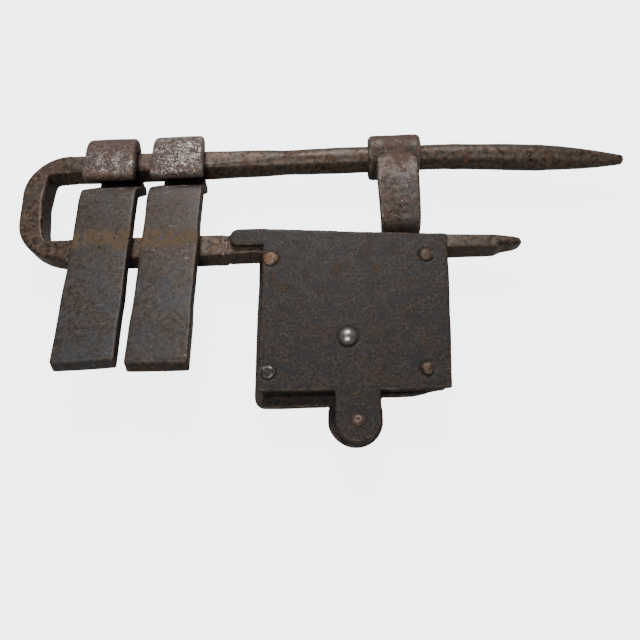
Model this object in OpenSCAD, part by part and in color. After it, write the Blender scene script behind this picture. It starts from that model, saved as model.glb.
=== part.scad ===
// Hand-forged sliding bolt latch: a U-shaped bolt, two door staples,
// and a riveted spring-catch case with an eye bracket.
// Frame: origin on the case's back face at the pivot rivet, +X towards the
// bolt's point, +Y towards the long upper arm, +Z out of the case front.

/* [Bolt] */
// Thickness of the square bolt bar
bar_t = 11; // [9:0.5:13]
// Diameter of the round upper arm
arm_d = 12; // [10:0.5:12.5]
// Distance between the centre lines of the two arms
arm_gap = 50.2; // [46:0.1:60]
// Reach of the bend to the left of the pivot rivet
bend_reach = 162.8; // [150:0.5:200]
// Reach of the pointed end to the right of the pivot rivet
point_reach = 138; // [120:1:170]
// Reach of the lower arm's nose to the right of the pivot rivet
nose_reach = 82.8; // [75:0.5:100]
// Length of the tapered point
point_len = 71; // [60:1:80]
// Radius of the point's tip
tip_r = 1.3; // [1:0.1:2]
// Outer radius of the bend
bend_r = 22; // [18:1:26]
// Depth of the catch notch under the lower arm
notch_h = 3.4; // [2:0.1:4]

/* [Case] */
// Width of the front plate
case_w = 84; // [80:1:110]
// Height of the case below the lower arm
case_h = 69; // [64:1:90]
// Height of the pivot rivet above the lower edge of the case
pivot_h = 24.2; // [20:0.1:34]
// Thickness of the front and back plates
plate_t = 2.2; // [1.6:0.1:3]
// Thickness of the side walls
wall_t = 1.6; // [1.2:0.1:2.4]
// Overhang of the back plate on the left and below
back_lip = 3.6; // [2:0.1:5]
// Width of the key tongue
tongue_w = 19; // [17:0.5:24]
// Length of the key tongue below the case
tongue_l = 22.4; // [20:0.2:30]
// Length of the ears that hold the lower arm
ear_l = 16; // [10:0.5:20]

/* [Eyes and staples] */
// Width of each door staple
staple_w = 27; // [20:0.5:30]
// Thickness of each door staple
staple_t = 5.5; // [4:0.1:6.5]
// Length of each staple below the upper arm
staple_l = 114.5; // [90:0.5:130]
// Width of the bracket's eye
eye_w = 26; // [20:0.5:30]
// Thickness of the bracket's strap
strap_t = 4.4; // [3:0.1:5.5]
// Width of the bracket's strap
strap_w = 18; // [14:0.5:22]

/* [Rivets and lock work] */
// Diameter of the rivet shanks
rivet_d = 3.2; // [2.4:0.1:4]
// Diameter of the pivot post
pivot_d = 5; // [4:0.1:6]
// Diameter of the key's drill pin
pin_d = 3.6; // [3:0.1:4.4]
// Diameter of the keyhole's round part
keyhole_d = 9.6; // [9:0.1:11]
// Thickness of the catch lever
lever_t = 5; // [4:0.1:6]

/* [Clearances] */
// Gap between the lower arm and each plate
slide_gap = 0.4; // [0.3:0.1:0.8]
// Gap around the round arm in the bracket's eye
eye_gap = 0.5; // [0.35:0.05:1]
// Gap around the bar in the staples
staple_gap = 0.5; // [0.4:0.1:1.5]
// Running gap between the pivot post and the lever
run_gap = 0.06; // [0.03:0.01:0.1]
// Gap between rivet shanks and their holes
rivet_gap = 0.05; // [0.03:0.01:0.1]
// Gap between a loose piece and what it stops on
rest_gap = 0.3; // [0.3:0.05:0.6]

/* [Hidden] */
$fn = 64;

// heights through the case
room_t = bar_t + 2 * slide_gap;
front_z = plate_t + room_t;
case_t = front_z + plate_t;
mid_z = case_t / 2;

// the case outline about the pivot rivet
left_x = -case_w / 2 + 3;
right_x = left_x + case_w;
right_top_x = right_x + 1.8;
right_low_x = right_x - 2.2;
low_y = -pivot_h;
arm_low_y = low_y + case_h;
top_slope = 5;
arm_top_y = arm_low_y + bar_t;
tongue_x = 3.5;
tongue_r = tongue_w / 2;
tongue_y = low_y - tongue_l + tongue_r;
wall_inset = 1.4;
right_inset = 3.8;
tongue_wall_r = tongue_r - 0.9;
ear_low_y = arm_low_y + 3.2;

// the bolt
half_t = bar_t / 2;
arm_y = arm_low_y + half_t + arm_gap;
arm_r = arm_d / 2;
corner_r = bar_t * 0.61;
bar_x = -bend_reach + bend_r;
round_x0 = left_x - 31;
round_x1 = left_x - 4;
point_x = point_reach - point_len;
nose_h = bar_t * 0.64;
slope_x = left_x - 3;
function arm_top(x) =
    arm_top_y - (x - slope_x) * (bar_t - nose_h) / (nose_reach - 14 - slope_x);

// the staples and the bracket
staple_r = max(corner_r, arm_r) + staple_gap;
left_staple_x = left_x - 91.2;
right_staple_x = left_staple_x + staple_w + 7;
loop_rise = 2.5;
lip_drop = 14;
eye_r = arm_r + eye_gap;
eye_out = eye_r + strap_t + 0.3;
bracket_x = left_x + 56.2;
end_x = bracket_x + (strap_w + eye_w) / 2 + 0.6;
end_r = arm_r - 0.3;
tenon_r = 1.6;
tenon_pitch = 9;

// the lock work
lever_gap = 0.2;
lever_z = mid_z - lever_t / 2;
tooth_x = 16;
tooth_w = 5;
tooth_y = arm_low_y - rest_gap;
throw_right = 12;
foot_y = arm_top(bracket_x - throw_right) + rest_gap;
stud_r = 1.8;
stud_x = -10;
stud_drop = 4.4;
post_x = stud_x + throw_right + 2 * stud_r + rest_gap + 0.6;
post_y = arm_low_y - stud_drop + 0.6 - stud_r / 2;
tail_y = tongue_y + 7.6;
limb_x0 = 5.6;
limb_slope = (tooth_x + tooth_w - limb_x0) / (tooth_y - 10);
spring_t = 1.2;
spring_w = 7;
spring_post_x = right_x - 15;
spring_post_y = -3;
spring_post_r = 1.9;
spring_tip_y = 30;
spring_tip_x = limb_x0 + (spring_tip_y - 1) * limb_slope + rest_gap + 0.75;
tail_x = tongue_x + 4;
tail_tip_r = 2.3;
neck_d = pin_d - 0.8;
rivet_x0 = left_x + 3.9;
rivet_x1 = right_x - 8.4;
rivet_x2 = right_x - 11.5;
rivet_y0 = low_y + 8.6;
rivet_y1 = arm_low_y - 5;

// ---------- shared shapes ----------

// a bar of thickness t along a chain of points, round at every joint
module chain(pts, t) {
    for (i = [0 : len(pts) - 2]) {
        a = pts[i];
        b = pts[i + 1];
        run = norm(b - a);
        translate(a)
            rotate(atan2(b[1] - a[1], b[0] - a[0]))
                translate([0, -t / 2])
                    square([run, t]);
    }
    for (i = [1 : len(pts) - 2])
        translate(pts[i]) circle(d = t);
}

// points along an arc about c, from angle a0 to a1
function arc(c, r, a0, a1, n = 16) =
    [for (i = [0 : n]) let (a = a0 + (a1 - a0) * i / n) c + r * [cos(a), sin(a)]];

function unit(v) = v / norm(v);
function left_of(v) = [-v[1], v[0]];

// point i of a path, moved sideways by d with a mitre
function beside(pts, i, d) =
    let (last = len(pts) - 1,
         before = left_of(unit(i > 0 ? pts[i] - pts[i - 1] : pts[1] - pts[0])),
         after = left_of(unit(i < last ? pts[i + 1] - pts[i] : pts[last] - pts[last - 1])),
         n = unit(before + after))
    pts[i] + n * d / (n * before);

// a strip of thickness t along a path, as one closed outline
module ribbon(pts, t) {
    last = len(pts) - 1;
    polygon(concat([for (i = [0 : last]) beside(pts, i, t / 2)],
                   [for (i = [last : -1 : 0]) beside(pts, i, -t / 2)]));
}

// a profile drawn in Y and Z, extruded along X
module along_x(x, w) {
    translate([x, 0, 0])
        rotate([90, 0, 90])
            linear_extrude(w)
                children();
}

// a rectangle with every corner rounded to radius r
module rounded(x0, y0, x1, y1, r) {
    translate([x0 + r, y0]) square([x1 - x0 - 2 * r, y1 - y0]);
    translate([x0, y0 + r]) square([x1 - x0, y1 - y0 - 2 * r]);
    for (x = [x0 + r, x1 - r], y = [y0 + r, y1 - r])
        translate([x, y]) circle(r);
}

// a domed head of radius r and height h, standing on z = 0
module dome(r, h) {
    ball = (r * r + h * h) / (2 * h);
    intersection() {
        translate([0, 0, h - ball]) sphere(ball, $fn = 96);
        cylinder(r = r + 1, h = h + 1);
    }
}

// a rivet through both plates with a domed head on the front
module rivet(x, y, head_r, head_h, d = rivet_d) {
    translate([x, y, 0]) {
        cylinder(d = d, h = case_t + 0.1);
        translate([0, 0, case_t]) dome(head_r, head_h);
    }
}

// the hole that a rivet of diameter d passes through
module rivet_hole(x, y, d = rivet_d) {
    translate([x, y, -1]) cylinder(r = d / 2 + rivet_gap, h = case_t + 2);
}

module rivet_holes() {
    rivet_hole(rivet_x0, rivet_y0);
    rivet_hole(rivet_x0, rivet_y1);
    rivet_hole(rivet_x1, rivet_y1);
    rivet_hole(rivet_x2, rivet_y0);
    rivet_hole(0, 0, pivot_d);
}

// ---------- the bolt ----------

// outline of the bend and both square arms, seen from the front
module bend_outline() {
    difference() {
        rounded(-bend_reach, arm_low_y, bar_x + 2 * bend_r,
                arm_y + half_t, bend_r);
        rounded(-bend_reach + bar_t, arm_low_y + bar_t, bar_x + 4 * bend_r,
                arm_y - half_t, 5);
        translate([bar_x, arm_low_y - 1])
            square([4 * bend_r, arm_gap + 2 * bar_t]);
    }
}

// the lower arm, tapering on its upper side to a blunt nose
module lower_arm() {
    x1 = nose_reach;
    translate([0, 0, mid_z - half_t])
        linear_extrude(bar_t)
            difference() {
                polygon([[bar_x - 0.1, arm_low_y], [x1 - 9, arm_low_y],
                         [x1 - 6, arm_low_y + 1.6], [x1 - 1.5, arm_low_y + 2.2],
                         [x1, arm_low_y + 3.6], [x1 - 1, arm_low_y + 5.2],
                         [x1 - 6, arm_low_y + nose_h - 0.9],
                         [x1 - 14, arm_low_y + nose_h], [slope_x, arm_top_y],
                         [bar_x - 0.1, arm_top_y]]);
                translate([tooth_x - throw_right - 0.5, arm_low_y - 1])
                    square([tooth_w + 1, notch_h + 1]);
                translate([left_x - 9, arm_low_y - 1])
                    polygon([[0, 0], [6, 0], [4.5, 2.4], [1, 2.4]]);
            }
}

// the upper arm: square with its corners dressed off, then round, then pointed
module upper_arm() {
    translate([bar_x - 6, arm_y, mid_z]) {
        intersection() {
            rotate([0, 90, 0]) cylinder(r = corner_r, h = round_x0 - bar_x + 6);
            translate([0, -half_t, -half_t])
                cube([round_x0 - bar_x + 6, bar_t, bar_t]);
        }
    }
    intersection() {
        translate([round_x0, arm_y, mid_z]) rotate([0, 90, 0])
            cylinder(r1 = corner_r, r2 = arm_r, h = round_x1 - round_x0);
        translate([round_x0, arm_y - half_t, mid_z - half_t])
            cube([round_x1 - round_x0, bar_t, bar_t]);
    }
    translate([round_x1 - 0.05, arm_y, mid_z]) rotate([0, 90, 0])
        cylinder(r = arm_r, h = end_x - round_x1 + 0.05);
    translate([end_x - 0.05, arm_y, mid_z]) rotate([0, 90, 0])
        cylinder(r = end_r, h = point_x - end_x + 0.1);
    point();
}

// the point: its underside stays straight and its top falls towards the tip
module point() {
    stations = [[0, end_r], [0.55, end_r * 0.84], [0.84, end_r * 0.55], [1, tip_r]];
    for (i = [0 : len(stations) - 2])
        hull()
            for (s = [stations[i], stations[i + 1]])
                translate([point_x + s[0] * (point_len - tip_r) - (s[0] == 0 ? 0 : 0.2),
                           arm_y - end_r + s[1], mid_z])
                    rotate([0, 90, 0]) cylinder(r = s[1], h = 0.2, $fn = 32);
    translate([point_reach - tip_r, arm_y - end_r + tip_r, mid_z])
        sphere(tip_r, $fn = 24);
}

module u_bolt() {
    color([0.30, 0.26, 0.23]) {
        difference() {
            union() {
                translate([0, 0, mid_z - half_t])
                    linear_extrude(bar_t) bend_outline();
                lower_arm();
            }
            // the stud's hole
            translate([stud_x, arm_low_y - 1, mid_z]) rotate([-90, 0, 0])
                cylinder(r = stud_r, h = bar_t * 0.7);
            // dressed corners where the staples turn round the bar
            dressed_corners();
        }
        upper_arm();
    }
}

// what is taken off the square bar's corners between the bend and the arm
module dressed_corners() {
    x0 = bar_x - 6;
    difference() {
        translate([x0, arm_y - half_t - 1, mid_z - half_t - 1])
            cube([7, bar_t + 2, bar_t + 2]);
        translate([x0 - 1, arm_y, mid_z]) rotate([0, 90, 0])
            cylinder(r = corner_r, h = 9);
    }
}

// the short stud under the lower arm that ends its travel
module stop_stud() {
    color([0.45, 0.40, 0.36])
        translate([stud_x, arm_low_y - stud_drop, mid_z]) rotate([-90, 0, 0])
            cylinder(r = stud_r, h = stud_drop + bar_t * 0.7 - 1);
}

// ---------- the staples ----------

// side view of a staple about the arm's axis: lip, loop, back run and leg
module staple_profile() {
    mid = staple_r + staple_t / 2;
    top = arm_y + loop_rise;
    turn_y = arm_y - mid + 3.6;
    bend_y = turn_y - (2 * mid - 3.6) * 0.86;
    leg_z = mid_z + half_t + rest_gap + staple_t / 2;
    foot_z = leg_z + 2.9;
    ribbon(concat([[arm_y - lip_drop, mid_z + mid]],
                  arc([top, mid_z], mid, 90, -90),
                  [[turn_y, mid_z - mid], [bend_y, leg_z - 1.4],
                   [bend_y - 6, leg_z - 0.5],
                   [arm_low_y + half_t, leg_z],
                   [arm_y - staple_l, foot_z]]), staple_t);
}

module staple(x) {
    along_x(x, staple_w) staple_profile();
}

module left_staple() {
    color([0.38, 0.35, 0.33]) staple(left_staple_x);
}

module right_staple() {
    color([0.40, 0.36, 0.34]) staple(right_staple_x);
}

// ---------- the case ----------

// outline of a plate's body: slanted top and right edges, lower edge from y0,
// and the ear that holds the lower arm
module plate_body(x0, y0, right_y, ear_y) {
    slope_y = arm_top_y - top_slope;
    ear_r = (arm_top_y - ear_y) / 2;
    polygon([[x0, y0], [tongue_x, y0], [tongue_x, right_y],
             [right_low_x - 14, right_y], [right_low_x, right_y + 0.9],
             [right_top_x, slope_y], [left_x, arm_top_y], [x0, arm_top_y]]);
    translate([left_x - ear_l + 5, ear_y]) square([ear_l - 4, 2 * ear_r]);
    translate([left_x - ear_l + ear_r, ear_y + ear_r]) circle(ear_r);
}

// a round-ended tongue of radius r, its centre at x, y
module tongue(x, y, r) {
    translate([x, y]) circle(r);
    translate([x - r, y]) square([2 * r, arm_low_y - y]);
}

module front_plate() {
    color([0.27, 0.24, 0.22])
        difference() {
            translate([0, 0, front_z])
                linear_extrude(plate_t) {
                    plate_body(left_x, low_y, low_y, ear_low_y);
                    tongue(tongue_x, tongue_y, tongue_r);
                }
            rivet_holes();
            rivet_hole(tongue_x, tongue_y, neck_d);
        }
}

module back_plate() {
    color([0.25, 0.22, 0.20])
        difference() {
            linear_extrude(plate_t) {
                difference() {
                    plate_body(left_x - back_lip, low_y - back_lip * 0.7,
                               low_y + 0.8, ear_low_y - 1.4);
                    // the lower left corner is round
                    translate([left_x - back_lip, low_y - back_lip * 0.7])
                        difference() {
                            translate([-1, -1]) square(6);
                            translate([5, 5]) circle(5);
                        }
                }
                tongue(tongue_x - 1, tongue_y + 3.3, tongue_r + 2.1);
                // tab behind the bracket's foot
                translate([bracket_x + 1.4, arm_low_y])
                    square([strap_w - 2.8, foot_y + strap_t + 0.8 - arm_low_y]);
            }
            rivet_holes();
            rivet_hole(post_x, post_y, 2 * stud_r);
            rivet_hole(spring_post_x, spring_post_y, 2 * spring_post_r);
            tenons(rivet_gap);
            // keyhole: a round hole for the key's barrel and a slot for its bit
            translate([tongue_x, tongue_y, -1])
                cylinder(d = keyhole_d, h = plate_t + 2);
            translate([tongue_x - 1.7, tongue_y, -1])
                cube([3.4, 8.6, plate_t + 2]);
        }
}

// two round tenons that rivet the bracket's foot to the back plate
module tenons(gap) {
    for (s = [-0.5, 0.5])
        translate([bracket_x + strap_w / 2 + s * tenon_pitch,
                   foot_y + strap_t / 2, gap > 0 ? -1 : 0])
            cylinder(r = tenon_r + gap, h = plate_t + 2);
}

module eye_bracket() {
    strap_z = mid_z + eye_out - strap_t / 2 + 0.8;
    foot_mid_y = foot_y + strap_t / 2;
    color([0.36, 0.31, 0.27]) {
        difference() {
            union() {
                along_x(bracket_x + strap_w / 2 - eye_w / 2, eye_w)
                    translate([arm_y, mid_z]) circle(eye_out);
                // the strap, lapped on the eye's front and turned back at its foot
                along_x(bracket_x, strap_w)
                    ribbon([[arm_y - 4.5, strap_z], [arm_y - 20, strap_z - 0.4],
                            [arm_y - 33, mid_z + half_t + 0.6 + strap_t / 2],
                            [foot_mid_y + 5, mid_z + half_t - 0.6 + strap_t / 2],
                            [foot_mid_y + 1.4, mid_z + half_t - 1.4],
                            [foot_mid_y, mid_z + half_t - 5],
                            [foot_mid_y, plate_t]], strap_t);
            }
            translate([0, arm_y, mid_z]) rotate([0, 90, 0])
                cylinder(r = eye_r, h = 3 * eye_w);
        }
        tenons(0);
    }
}

// walls stand between the plates, a bent strip each
module wall(pts) {
    translate([0, 0, plate_t]) linear_extrude(room_t) chain(pts, wall_t);
}

module left_wall() {
    x = left_x + wall_t / 2;
    y = low_y + wall_t / 2 + wall_inset;
    color([0.24, 0.20, 0.18])
        wall([[x, arm_low_y - rest_gap], [x, y],
              [tongue_x - tongue_wall_r - 0.4, y]]);
}

module right_wall() {
    y = low_y + wall_t / 2 + right_inset;
    color([0.24, 0.20, 0.18])
        wall([[right_top_x - wall_t, arm_low_y - rest_gap],
              [right_low_x - wall_t, y + 0.4],
              [tongue_x + tongue_wall_r + 0.4, y]]);
}

// one strip bent round the tongue's edge, each limb up to its side wall
module tongue_wall() {
    r = tongue_wall_r - wall_t / 2;
    color([0.24, 0.20, 0.18])
        translate([0, 0, plate_t])
            linear_extrude(room_t)
                ribbon(concat([[tongue_x - r, low_y + wall_inset + wall_t]],
                              arc([tongue_x, tongue_y], r, 180, 360, 24),
                              [[tongue_x + r, low_y + right_inset + wall_t]]),
                       wall_t);
}

module rivet_upper_left() {
    color([0.42, 0.34, 0.27]) rivet(rivet_x0, rivet_y1, 3.4, 1.7);
}

module rivet_upper_right() {
    color([0.36, 0.28, 0.22]) rivet(rivet_x1, rivet_y1, 3.2, 1.6);
}

module rivet_lower_left() {
    color([0.35, 0.31, 0.29]) rivet(rivet_x0, rivet_y0, 3.2, 1.3);
}

module rivet_lower_right() {
    color([0.42, 0.32, 0.25]) rivet(rivet_x2, rivet_y0, 2.9, 1.7);
}

// ---------- the lock work ----------

module pivot_post() {
    color([0.75, 0.72, 0.68]) rivet(0, 0, 4.3, 3.0, pivot_d);
}

// a tube round the post
module collar(z, h, r) {
    difference() {
        translate([0, 0, z]) cylinder(r = r, h = h);
        translate([0, 0, z - 1]) cylinder(r = pivot_d / 2 + run_gap, h = h + 2);
    }
}

module pivot_collar_back() {
    color([0.5, 0.46, 0.42])
        collar(plate_t, lever_z - lever_gap - plate_t, 5);
}

module pivot_collar_front() {
    z = lever_z + lever_t + lever_gap;
    color([0.5, 0.46, 0.42]) collar(z, front_z - z, 5);
}

// the pivoted catch: its tooth drops into the arm's notch and holds the bolt,
// its tail hangs beside the drill pin where the key's bit sweeps
module catch_lever() {
    color([0.40, 0.38, 0.36])
        translate([0, 0, lever_z])
            difference() {
                linear_extrude(lever_t) {
                    circle(7);
                    polygon([[-4, 2], [limb_x0, 1],
                             [tooth_x + tooth_w, tooth_y - 9],
                             [tooth_x + tooth_w, tooth_y],
                             [tooth_x, tooth_y],
                             [tooth_x - 1.4, tooth_y - 8]]);
                    polygon([[tail_x - tail_tip_r + 0.2, tail_y],
                             [tail_x + tail_tip_r - 0.2, tail_y],
                             [5, -1], [-3.6, -2]]);
                    translate([tail_x, tail_y]) circle(tail_tip_r);
                }
                translate([0, 0, -1])
                    cylinder(r = pivot_d / 2 + run_gap, h = lever_t + 2);
            }
}

// the flat spring: curled round its post, its free end against the catch
module leaf_spring() {
    curl_r = spring_post_r + 0.1;
    bow = [spring_post_x - 1.2, (spring_post_y + spring_tip_y) / 2];
    root = [spring_post_x + curl_r + spring_t / 2, spring_post_y];
    color([0.32, 0.34, 0.38])
        translate([0, 0, mid_z - spring_w / 2])
            linear_extrude(spring_w) {
                translate([spring_post_x, spring_post_y])
                    difference() {
                        circle(curl_r + spring_t);
                        circle(curl_r);
                    }
                chain([root, bow, [spring_tip_x, spring_tip_y]], spring_t);
            }
}

// the posts are riveted in the back plate and stop short of the front plate
module spring_post() {
    color([0.38, 0.32, 0.28])
        translate([spring_post_x, spring_post_y, 0])
            cylinder(r = spring_post_r, h = front_z - 0.2);
}

module stop_post() {
    color([0.38, 0.32, 0.28])
        translate([post_x, post_y, 0])
            cylinder(r = stud_r, h = front_z - 0.2);
}

// the pin that the key's barrel turns on, shouldered and riveted in the front plate
module drill_pin() {
    color([0.44, 0.38, 0.33])
        translate([tongue_x, tongue_y, 0]) {
            cylinder(d = pin_d, h = front_z);
            cylinder(d = neck_d, h = case_t + 0.1);
            translate([0, 0, case_t]) dome(2.1, 0.9);
        }
}

// the collar under the drill pin's head
module pin_collar() {
    color([0.33, 0.28, 0.25])
        translate([tongue_x, tongue_y, case_t])
            difference() {
                cylinder(r1 = 3.2, r2 = 2.8, h = 0.5);
                translate([0, 0, -1]) cylinder(r = 2.15, h = 3);
            }
}

u_bolt();
stop_stud();
left_staple();
right_staple();
front_plate();
back_plate();
eye_bracket();
left_wall();
tongue_wall();
right_wall();
rivet_upper_left();
rivet_upper_right();
rivet_lower_left();
rivet_lower_right();
pivot_post();
pivot_collar_front();
pivot_collar_back();
catch_lever();
leaf_spring();
spring_post();
stop_post();
drill_pin();
pin_collar();
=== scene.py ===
"""Looks for a hand-forged sliding bolt latch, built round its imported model.

Lengths in the classes are millimetres in the row frame, and become metres when
a mesh is made. Every new surface is a grid worked out with numpy, roughened as
hammered iron is, and carries an attribute that says how sharp each edge is.
"""

import logging
import math
from dataclasses import dataclass, replace
from enum import Enum
from typing import Any, Optional

import bmesh
import bpy
import numpy as np
from mathutils import Matrix, Vector

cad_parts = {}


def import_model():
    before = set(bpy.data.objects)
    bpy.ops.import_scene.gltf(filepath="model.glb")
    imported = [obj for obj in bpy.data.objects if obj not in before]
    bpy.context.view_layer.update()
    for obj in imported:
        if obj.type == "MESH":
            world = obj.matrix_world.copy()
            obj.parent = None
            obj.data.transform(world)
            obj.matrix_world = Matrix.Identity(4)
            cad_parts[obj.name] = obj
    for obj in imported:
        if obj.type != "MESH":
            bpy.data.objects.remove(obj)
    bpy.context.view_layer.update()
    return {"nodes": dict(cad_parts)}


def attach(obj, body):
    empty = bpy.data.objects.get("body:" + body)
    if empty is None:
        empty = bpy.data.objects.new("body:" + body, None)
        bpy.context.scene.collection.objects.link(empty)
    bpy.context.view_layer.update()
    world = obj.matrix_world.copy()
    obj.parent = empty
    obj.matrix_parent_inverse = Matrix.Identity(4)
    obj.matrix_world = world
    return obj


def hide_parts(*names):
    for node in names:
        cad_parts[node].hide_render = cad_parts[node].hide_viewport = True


LOG = logging.getLogger("latch")
MM = 0.001
WEAR = "edge_wear"
Array = np.ndarray
Colour = tuple[float, float, float]
Object = Any
Socket = Any

# heights and lines that several pieces share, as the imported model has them
MID_Z = 8.1
CASE_T = 16.2
ARM_Y = 100.5
ARM_LOW_Y = 44.8
HALF_BAR = 5.5
EYE_LEFT = 12.0
EYE_RIGHT = 37.9
# where the bend's outer and inner edges leave the lower arm, and its groove
BEND_X = -134.5
GROOVE_X = -57.0
# largest corner radius, as a share of a section's smaller half size
ROUNDEST = 0.94
# the hammer raises nothing above this, in millimetres
HIGHEST_BUMP = 0.06
# the iron's specular level, its bump height, and how far bands are ragged
SPECULAR = 0.22
BUMP_HEIGHT = 0.35
BAND_STIR = 14


# ---------------------------------------------------------------- noise


def lattice(cell: Array, seed: int) -> Array:
    """Gives each whole-number cell its own value from -1 to 1.

    The three indices are multiplied by large odd numbers, joined by exclusive
    or, and mixed by shifts and products, so neighbours are unrelated.

    Args:
        cell: whole numbers, shape (n, 3).
        seed: a different number gives different values.

    Returns:
        Values from -1 to 1, shape (n,).
    """
    c = cell.astype(np.int64).astype(np.uint64)
    h = (
        c[:, 0] * np.uint64(73856093)
        ^ c[:, 1] * np.uint64(19349663)
        ^ c[:, 2] * np.uint64(83492791)
        ^ np.uint64(seed * 2654435761)
    )
    h = ((h ^ (h >> np.uint64(15))) * np.uint64(2246822519)) & np.uint64(0xFFFFFFFF)
    h = ((h ^ (h >> np.uint64(13))) * np.uint64(3266489917)) & np.uint64(0xFFFFFFFF)
    return (h ^ (h >> np.uint64(16))).astype(np.float64) / 0x7FFFFFFF - 1.0


def noise(points: Array, pitch: float, seed: int) -> Array:
    """Smooth value noise: the eight cell corners blended by 3t^2 - 2t^3.

    Args:
        points: places in millimetres, shape (n, 3).
        pitch: size of a cell.
        seed: picks the pattern.

    Returns:
        Values from -1 to 1, shape (n,).
    """
    q = points / pitch
    cell = np.floor(q)
    f = q - cell
    f = f * f * (3 - 2 * f)
    total = np.zeros(len(points))
    for corner in np.ndindex(2, 2, 2):
        side = np.array(corner)
        weight = np.prod(np.where(side == 1, f, 1 - f), axis=1)
        total += weight * lattice(cell + side, seed)
    return total


def fractal(points: Array, pitch: float, octaves: int, seed: int) -> Array:
    """Sum of noises, each at half the pitch and half the height of the last."""
    return sum(
        noise(points, pitch / 2**k, seed + 17 * k) / 2**k for k in range(octaves)
    )


def smoothstep(low: float, high: float, x: Array) -> Array:
    """0 below low, 1 above high, and 3t^2 - 2t^3 between."""
    t = np.clip((x - low) / (high - low), 0, 1)
    return t * t * (3 - 2 * t)


# ---------------------------------------------------------------- meshes


def linked(name: str, data: Any) -> Object:
    """Makes an object of a mesh, lamp or lens and links it to the scene."""
    obj = bpy.data.objects.new(name, data)
    bpy.context.scene.collection.objects.link(obj)
    return obj


def make_object(name: str, points: Array, faces: list[list[int]]) -> Object:
    """Makes a closed mesh whose faces look outwards.

    The signed volume is the sum of p0 . (p1 x p2) / 6 over fans of each face;
    where it is negative the faces are turned over.

    Args:
        name: the piece's name.
        points: vertices in millimetres.
        faces: vertex numbers, face by face.

    Returns:
        The object, linked to the scene.
    """
    quads = np.array([f for f in faces if len(f) == 4], int).reshape(-1, 4)
    tris = np.array([f for f in faces if len(f) == 3], int).reshape(-1, 3)
    tris = np.vstack([tris, quads[:, [0, 1, 2]], quads[:, [0, 2, 3]]])
    a, b, c = (points[tris[:, k]] for k in range(3))
    if np.sum(a * np.cross(b, c)) < 0:
        faces = [f[::-1] for f in faces]
    mesh = bpy.data.meshes.new(name)
    mesh.from_pydata((points * MM).tolist(), [], faces)
    mesh.update()
    return linked(name, mesh)


def grid_faces(rows: int, cols: int, wrap_rows: bool = False) -> Array:
    """Quads of a grid whose columns close on themselves."""
    last = rows if wrap_rows else rows - 1
    i, j = np.meshgrid(np.arange(last), np.arange(cols), indexing="ij")
    k, n = (i + 1) % rows, (j + 1) % cols
    corners = [i * cols + j, i * cols + n, k * cols + n, k * cols + j]
    return np.stack([c.ravel() for c in corners], axis=1)


def tube(name: str, rings: Array) -> Object:
    """Joins rings of points into a tube, each end closed by a fan to its middle.

    Args:
        name: the piece's name.
        rings: shape (rows, cols, 3).

    Returns:
        The object.
    """
    rows, cols, _ = rings.shape
    points = np.vstack([rings.reshape(-1, 3), rings[0].mean(0), rings[-1].mean(0)])
    faces = grid_faces(rows, cols).tolist()
    j = np.arange(cols)
    n = (j + 1) % cols
    start, end = rows * cols, rows * cols + 1
    base = (rows - 1) * cols
    faces += np.stack([np.full(cols, start), n, j], axis=1).tolist()
    faces += np.stack([np.full(cols, end), base + j, base + n], axis=1).tolist()
    return make_object(name, points, faces)


def ring_solid(name: str, rings: Array) -> Object:
    """Joins rings of points into a closed loop, with no ends."""
    rows, cols, _ = rings.shape
    faces = grid_faces(rows, cols, wrap_rows=True).tolist()
    return make_object(name, rings.reshape(-1, 3), faces)


def section(a: Array, b: Array, r: Array, flat_a: int, flat_b: int, turn: int) -> Array:
    """Rounded rectangles, one for each row.

    A point is ((a - r) u + r cos t, (b - r) v + r sin t): u and v run from -1
    to 1 along the flats, and t turns by a quarter at each corner.

    Args:
        a: half sizes along the first axis, shape (rows,).
        b: half sizes along the second axis.
        r: corner radii.
        flat_a: steps along the sides that follow the first axis.
        flat_b: steps along the sides that follow the second axis.
        turn: steps round a corner.

    Returns:
        Points, shape (rows, cols, 2).
    """
    signs = [(1, 1), (-1, 1), (-1, -1), (1, -1)]
    u, v, t = [], [], []
    for k, (su, sv) in enumerate(signs):
        nu, nv = signs[(k + 1) % 4]
        angles = (k + np.linspace(0, 1, turn + 1)) * math.pi / 2
        steps = flat_a if sv == nv else flat_b
        w = np.arange(1, steps) / steps
        u.append(np.concatenate([np.full(turn + 1, su), su + (nu - su) * w]))
        v.append(np.concatenate([np.full(turn + 1, sv), sv + (nv - sv) * w]))
        t.append(np.concatenate([angles, np.full(steps - 1, angles[-1])]))
    uu, vv, tt = (np.concatenate(x)[None, :] for x in (u, v, t))
    r = np.minimum(r, np.minimum(a, b) * ROUNDEST)[:, None]
    x = (a[:, None] - r) * uu + r * np.cos(tt)
    y = (b[:, None] - r) * vv + r * np.sin(tt)
    return np.stack([x, y], axis=2)


def carried(centre: Array, first: Array, second: Array, shape: Array) -> Array:
    """Carries sections along a path: centre + x * first + y * second."""
    return (
        centre[:, None, :]
        + shape[:, :, :1] * first[:, None, :]
        + shape[:, :, 1:] * second[:, None, :]
    )


def strip_rings(path: Array, centre: Array, shape: Array) -> Array:
    """Carries a strip's sections along a middle line in Y and Z.

    Args:
        path: the middle line, shape (rows, 2).
        centre: its X at each point.
        shape: sections across X and through the thickness.

    Returns:
        Points, shape (rows, cols, 3).
    """
    rows = len(path)
    tangent = np.gradient(path, axis=0)
    tangent /= np.linalg.norm(tangent, axis=1)[:, None]
    side = np.tile([1.0, 0.0, 0.0], (rows, 1))
    out = np.column_stack([np.zeros(rows), -tangent[:, 1], tangent[:, 0]])
    return carried(np.column_stack([centre, path]), side, out, shape)


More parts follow.
